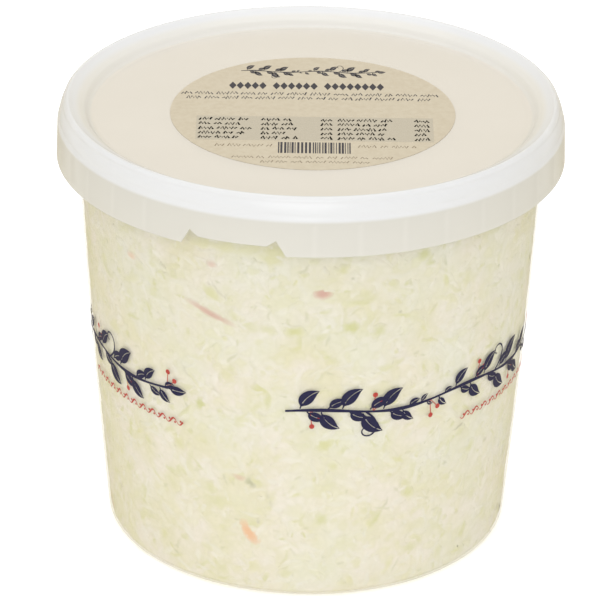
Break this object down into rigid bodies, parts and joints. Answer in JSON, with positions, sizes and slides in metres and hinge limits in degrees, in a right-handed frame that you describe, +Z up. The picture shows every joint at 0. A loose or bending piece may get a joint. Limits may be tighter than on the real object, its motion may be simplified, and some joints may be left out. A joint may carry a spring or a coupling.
{
  "type": "coleslaw in a tub",
  "caption": "Creamy shredded coleslaw in a round translucent tub with a press-on lid and a paper label.",
  "frame": {"origin": "centre of the tub's base on the surface it stands on", "axes": "+Z up along the tub's axis, -Y towards the front, +X to the right"},
  "size_m": [0.181, 0.181, 0.1629],
  "materials": {
    "tub": "thin natural polypropylene, milky and translucent, satin, with a navy and red printed ornament",
    "coleslaw": "moist shredded white cabbage in creamy dressing, with green flecks and carrot",
    "lid": "milky white polypropylene, satin, slightly translucent",
    "label": null
  },
  "bodies": {
    "root": {"tub": "tub", "coleslaw": "coleslaw", "lid": "lid", "label": "label"}
  },
  "joints": []
}
